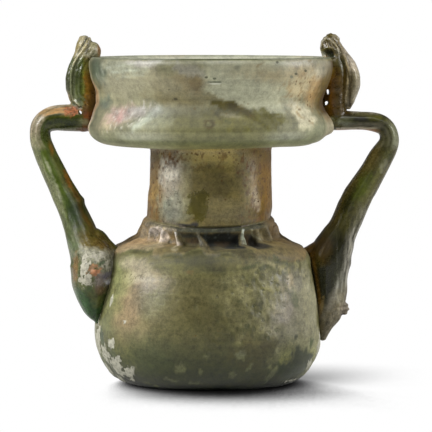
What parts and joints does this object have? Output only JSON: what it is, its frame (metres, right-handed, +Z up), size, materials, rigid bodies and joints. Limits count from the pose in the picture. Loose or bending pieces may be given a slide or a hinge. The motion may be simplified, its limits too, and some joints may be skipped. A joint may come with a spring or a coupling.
{
  "type": "two-handled glass jar",
  "caption": "Small ancient blown-glass jar with a waisted cup mouth, a pinched collar and a rod handle with a folded thumb-rest on each side.",
  "frame": {"origin": "on the flat underside, where the axis of the body meets it", "axes": "+Z up through the mouth, +X towards the handle with the long pad, -Y towards the front; the handles lie along X"},
  "size_m": [0.1032, 0.0692, 0.0977],
  "materials": {
    "weathered_glass": "pale olive blown glass under a matt, pitted and faintly iridescent weathering film, with tan and grey crusts",
    "green_glass": "thick dark green trailed glass, glossy where bare, with brown soil and grey flakes in its creases"
  },
  "bodies": {
    "root": {"vessel": "weathered_glass", "handle_left": "green_glass", "handle_right": "green_glass"}
  },
  "joints": []
}
